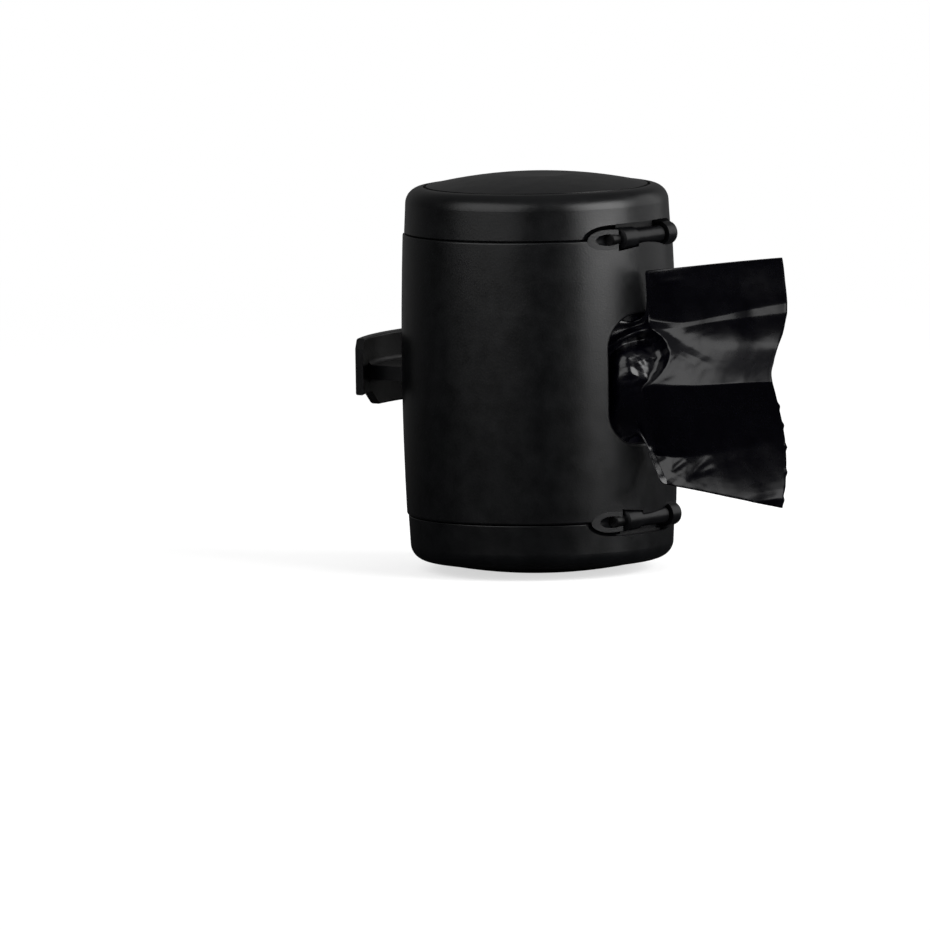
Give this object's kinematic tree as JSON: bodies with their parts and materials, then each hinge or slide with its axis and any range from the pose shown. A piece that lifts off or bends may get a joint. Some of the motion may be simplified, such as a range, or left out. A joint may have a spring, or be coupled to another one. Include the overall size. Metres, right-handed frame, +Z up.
{
  "type": "leash accessory box",
  "caption": "Cylindrical leash box with hinged snap lids at both ends, a side slot that feeds waste bags from a roll inside and a T rail that slides onto a leash.",
  "frame": {"origin": "centre of the flat foot under the bottom lid, which the box stands on", "axes": "+Z up the barrel's axis, +Y out of the back with the leash rail, -Y out of the front with the bag slot and both hinges, +X to the blind-bore side of the hinges"},
  "size_m": [0.0564, 0.0992, 0.0814],
  "materials": {
    "shell": "moulded satin black, finely eroded, with polished edges",
    "pin": "smooth black rod",
    "film": "thin glossy black film with fine creases",
    "cardboard": "wound grey-brown cardboard tube"
  },
  "bodies": {
    "barrel": {"barrel": "shell", "leash_rail": "shell", "top_hinge_pin": "pin", "bottom_hinge_pin": "pin", "bag_tail": "film"},
    "top_lid": {"top_lid": "shell"},
    "bottom_lid": {"bottom_lid": "shell"},
    "bag_roll": {"bag_roll_core": "cardboard", "bag_roll_film": "film"}
  },
  "joints": [
    {"name": "top_lid_hinge", "type": "hinge", "parent": "barrel", "child": "top_lid", "pos_m": [0, -0.0258, 0.0695], "axis": [1, 0, 0], "range_deg": [0, 105]},
    {"name": "bottom_lid_hinge", "type": "hinge", "parent": "barrel", "child": "bottom_lid", "pos_m": [0, -0.0258, 0.0119], "axis": [-1, 0, 0], "range_deg": [0, 105]},
    {"name": "bag_roll_spin", "type": "hinge", "parent": "barrel", "child": "bag_roll", "pos_m": [0, -0.0071, 0.0046], "axis": [0, 0, 1], "continuous": true}
  ]
}
